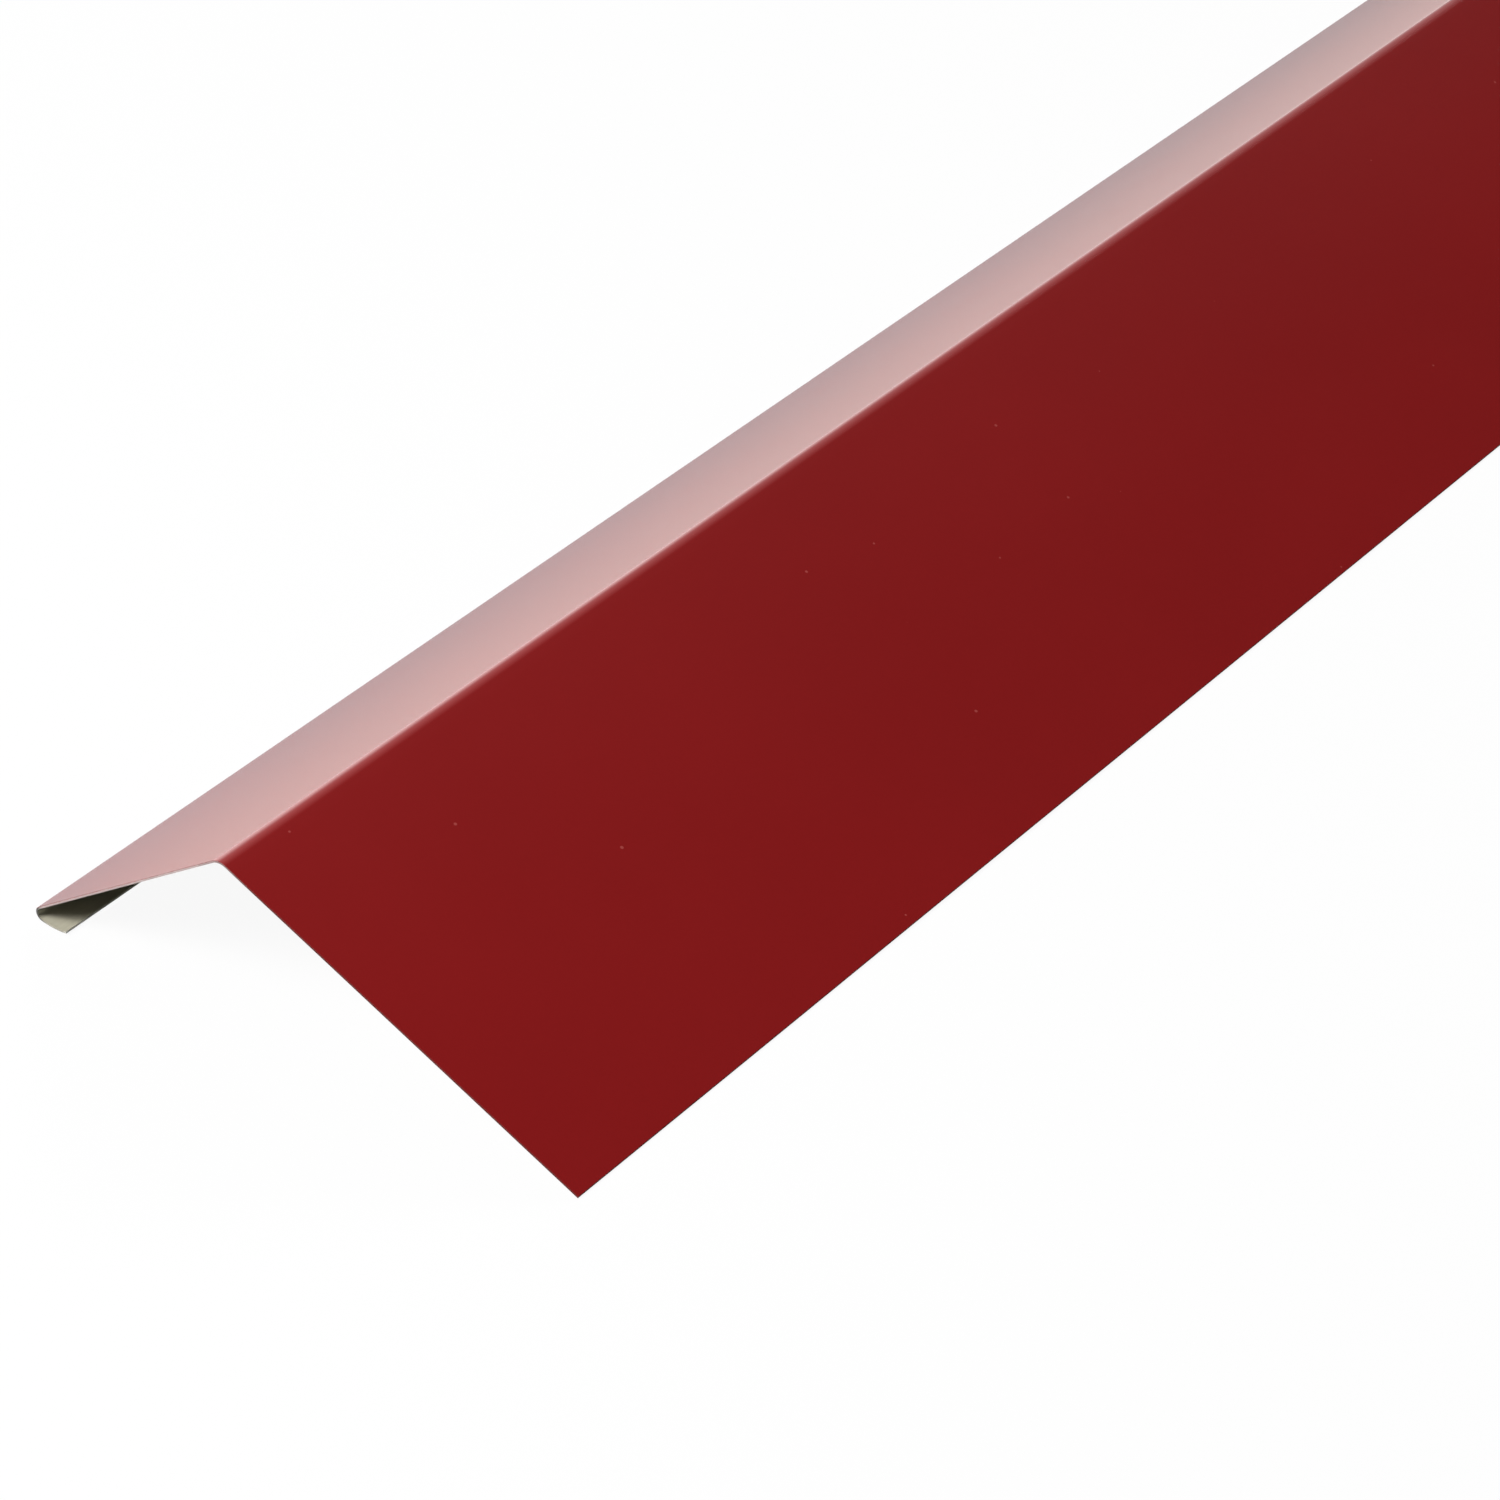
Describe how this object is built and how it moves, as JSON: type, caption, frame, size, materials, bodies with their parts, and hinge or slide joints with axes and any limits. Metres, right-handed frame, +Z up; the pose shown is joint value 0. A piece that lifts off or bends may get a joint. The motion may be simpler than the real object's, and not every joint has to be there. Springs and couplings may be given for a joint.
{
  "type": "eaves flashing",
  "caption": "Straight length of folded red-coated steel eaves flashing: a wide flange for the roof deck, a narrow flange over the fascia and a drip lip folded back under it",
  "frame": {"origin": "Under the middle of the strip, on the floor it stands on: the centre of the base of its bounding box", "axes": "+X along the strip's length, -Y the way the wide flange faces and +Y the way the narrow flange and drip lip face, +Z up, from the floor to the bend between the flanges"},
  "size_m": [2, 0.1478, 0.0407],
  "materials": {
    "red_coated_steel": "satin polyester coat on the outer face, thin grey-green back coat inside, bare zinc-grey cut edges"
  },
  "bodies": {
    "root": {"eaves_flashing": "red_coated_steel"}
  },
  "joints": []
}
